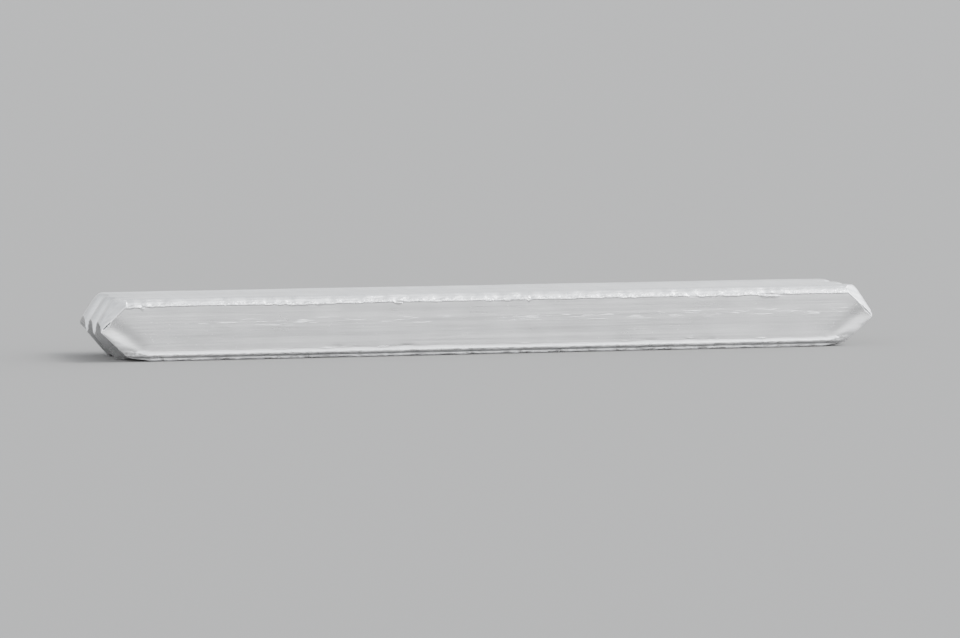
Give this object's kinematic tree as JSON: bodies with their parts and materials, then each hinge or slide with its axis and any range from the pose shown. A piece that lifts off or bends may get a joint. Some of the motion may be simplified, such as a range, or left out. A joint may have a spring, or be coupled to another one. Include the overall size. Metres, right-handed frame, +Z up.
{
  "type": "aluminium ingot",
  "caption": "Bar of cast aluminium for remelting: flat-topped, nearly rectangular, with a shallow channel underneath and fluted wedge ends; stacks in crossed layers.",
  "frame": {"origin": "middle of the underside, at the centre of the bar's footprint, level with the two bearing strips beside the channel", "axes": "+X along the bar, +Y across its width, +Z up through the flat top"},
  "size_m": [0.71, 0.101, 0.055],
  "materials": {
    "cast_aluminium": "satin as-cast"
  },
  "bodies": {
    "root": {"ingot": "cast_aluminium"}
  },
  "joints": []
}
